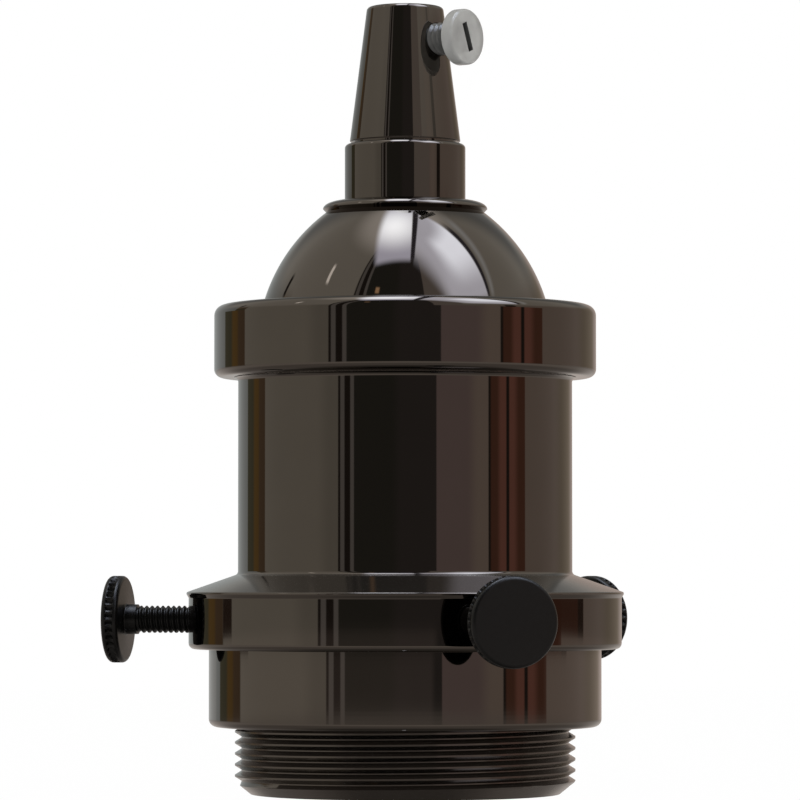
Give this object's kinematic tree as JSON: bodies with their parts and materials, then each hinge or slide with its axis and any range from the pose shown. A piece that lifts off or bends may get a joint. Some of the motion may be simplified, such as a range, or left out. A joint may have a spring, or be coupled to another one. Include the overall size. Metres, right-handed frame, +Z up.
{
  "type": "lamp holder",
  "caption": "Screw-thread lamp holder with a domed cap, a conical cord grip, a gallery with knurled thumb screws for a glass shade, and a drum shade ring on a threaded nose.",
  "frame": {"origin": "on the axis, in the end face of the threaded nose where the lamp enters", "axes": "+Z up the axis towards the cord grip; -Y towards the front; +X to the right seen from the front"},
  "size_m": [0.0624, 0.0641, 0.0918],
  "materials": {
    "black_nickel": "black nickel plate, mirror polished",
    "black_screw": "black, satin",
    "clear_plastic": "clear, moulded",
    "zinc_steel": "zinc plated",
    "contact_brass": "bright",
    "lamp_sleeve": "pressed, bright",
    "porcelain": "white, glazed"
  },
  "bodies": {
    "holder": {"shell": "black_nickel", "porcelain_core": "porcelain", "screw_shell": "lamp_sleeve", "live_terminal": "contact_brass", "live_terminal_screw": "zinc_steel", "neutral_terminal": "contact_brass", "neutral_terminal_screw": "zinc_steel", "centre_rivet": "contact_brass", "neutral_rivet": "contact_brass", "shell_rivet": "contact_brass"},
    "cap_assembly": {"cap": "black_nickel", "cord_grip": "black_nickel", "nipple": "zinc_steel", "nipple_locknut": "zinc_steel", "lock_washer": "zinc_steel", "earth_tag": "contact_brass", "earth_screw": "zinc_steel"},
    "shade_ring": {"shade_ring": "black_nickel"},
    "thumb_screw_front": {"thumb_screw_front": "black_screw"},
    "thumb_screw_left": {"thumb_screw_left": "black_screw"},
    "thumb_screw_back": {"thumb_screw_back": "black_screw"},
    "cord_grip_screw": {"cord_grip_screw": "clear_plastic"},
    "centre_contact": {"centre_contact": "contact_brass"}
  },
  "joints": [
    {"name": "cap_lift", "type": "slide", "parent": "holder", "child": "cap_assembly", "axis": [0, 0, 1], "range_m": [0, 0.03]},
    {"name": "shade_ring_travel", "type": "slide", "parent": "holder", "child": "shade_ring", "axis": [0, 0, 1], "range_m": [-0.0076, 0.001]},
    {"name": "thumb_screw_front_travel", "type": "slide", "parent": "holder", "child": "thumb_screw_front", "axis": [0.342, -0.9397, 0], "range_m": [-0.0035, 0.001]},
    {"name": "thumb_screw_left_travel", "type": "slide", "parent": "holder", "child": "thumb_screw_left", "axis": [-0.9848, 0.1736, 0], "range_m": [-0.0035, 0.001]},
    {"name": "thumb_screw_back_travel", "type": "slide", "parent": "holder", "child": "thumb_screw_back", "axis": [0.6626, 0.749, 0], "range_m": [-0.0035, 0.001]},
    {"name": "cord_grip_screw_travel", "type": "slide", "parent": "cap_assembly", "child": "cord_grip_screw", "axis": [0.788, -0.6157, 0], "range_m": [-0.0021, 0.0012]},
    {"name": "centre_contact_flex", "type": "hinge", "parent": "holder", "child": "centre_contact", "pos_m": [0.003, 0, 0.0284], "axis": [0, 1, 0], "range_deg": [0, 6], "stiffness_Nm_per_rad": 0.1}
  ]
}
